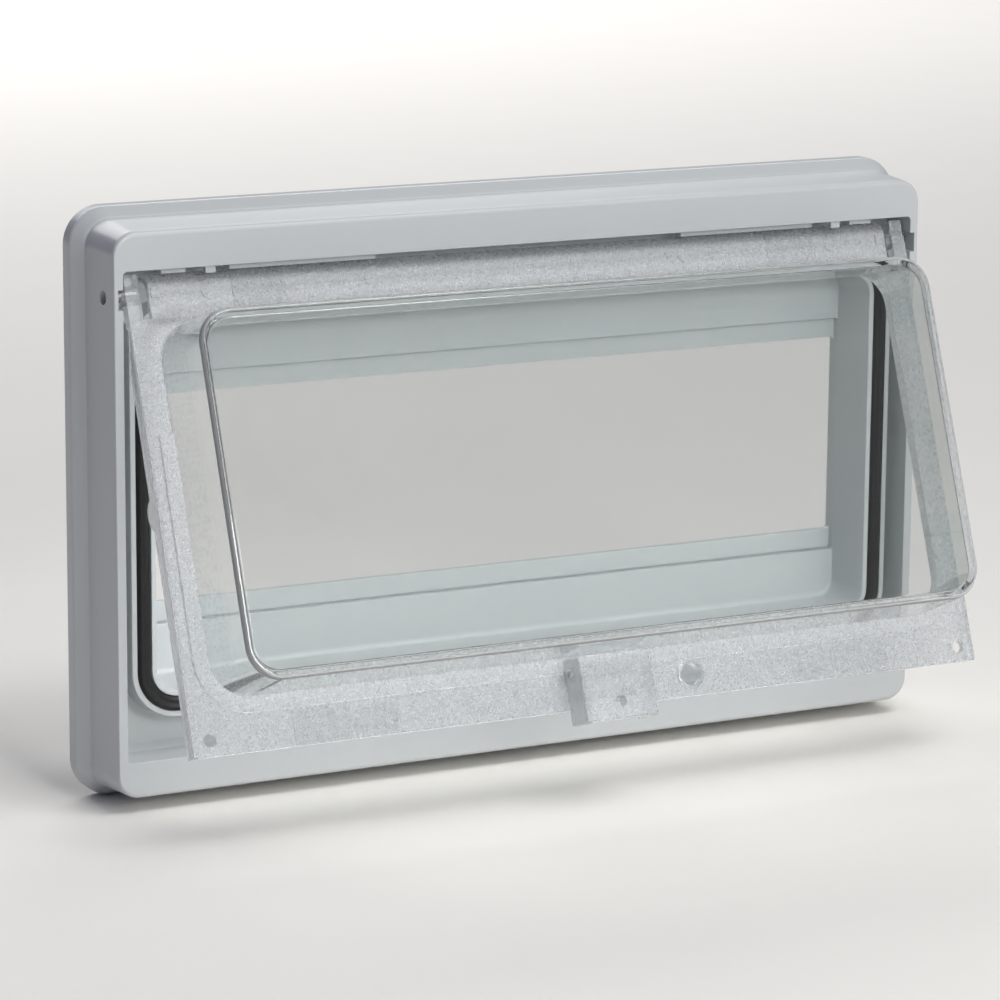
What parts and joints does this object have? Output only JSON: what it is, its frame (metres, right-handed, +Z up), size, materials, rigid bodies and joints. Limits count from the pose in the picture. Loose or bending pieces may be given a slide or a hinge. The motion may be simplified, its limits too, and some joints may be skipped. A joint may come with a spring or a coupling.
{
  "type": "hinged inspection window",
  "caption": "Panel-mounted inspection window: grey moulded frame with gasket, and a clear domed cover hinged at the top with a pull latch.",
  "frame": {"origin": "middle of the opening, in the plane where the rear flange meets the panel", "axes": "+X to the right seen from the front, +Z up towards the hinge, the front faces -Y"},
  "size_m": [0.2584, 0.0888, 0.1626],
  "materials": {
    "frame_plastic": "light grey moulded plastic, semi-gloss",
    "cover_polycarbonate": "clear polished dome, frosted flange and hinge barrel",
    "latch_polycarbonate": "clear walls with a frosted face",
    "gasket_rubber": "black extruded rubber, slightly shiny",
    "panel_seal_rubber": "black cellular rubber, dull",
    "pin_steel": "turned stainless steel",
    "spring_steel": "drawn stainless wire",
    "insert_brass": "turned and knurled brass",
    "fixing_steel": "bright zinc plated steel"
  },
  "bodies": {
    "frame": {"base_frame": "frame_plastic", "cover_gasket": "gasket_rubber", "panel_gasket": "panel_seal_rubber", "threaded_insert_1": "insert_brass", "fixing_washer_1": "fixing_steel", "fixing_screw_1": "fixing_steel", "threaded_insert_2": "insert_brass", "fixing_washer_2": "fixing_steel", "fixing_screw_2": "fixing_steel", "threaded_insert_3": "insert_brass", "fixing_washer_3": "fixing_steel", "fixing_screw_3": "fixing_steel", "threaded_insert_4": "insert_brass", "fixing_washer_4": "fixing_steel", "fixing_screw_4": "fixing_steel", "threaded_insert_5": "insert_brass", "fixing_washer_5": "fixing_steel", "fixing_screw_5": "fixing_steel", "threaded_insert_6": "insert_brass", "fixing_washer_6": "fixing_steel", "fixing_screw_6": "fixing_steel"},
    "cover": {"cover_shell": "cover_polycarbonate", "hinge_pin_left": "pin_steel", "hinge_pin_right": "pin_steel", "latch_pin": "pin_steel", "latch_spring": "spring_steel"},
    "latch": {"latch_lever": "latch_polycarbonate"}
  },
  "joints": [
    {"name": "cover_hinge", "type": "hinge", "parent": "frame", "child": "cover", "pos_m": [0, -0.019, 0.0592], "axis": [-1, 0, 0], "range_deg": [-20.6, 69.4]},
    {"name": "latch_pull", "type": "hinge", "parent": "cover", "child": "latch", "pos_m": [0, -0.06793, -0.04483], "axis": [-1, 0, 0], "range_deg": [0, 10], "stiffness_Nm_per_rad": 0.12, "springref_deg": -5.73}
  ]
}
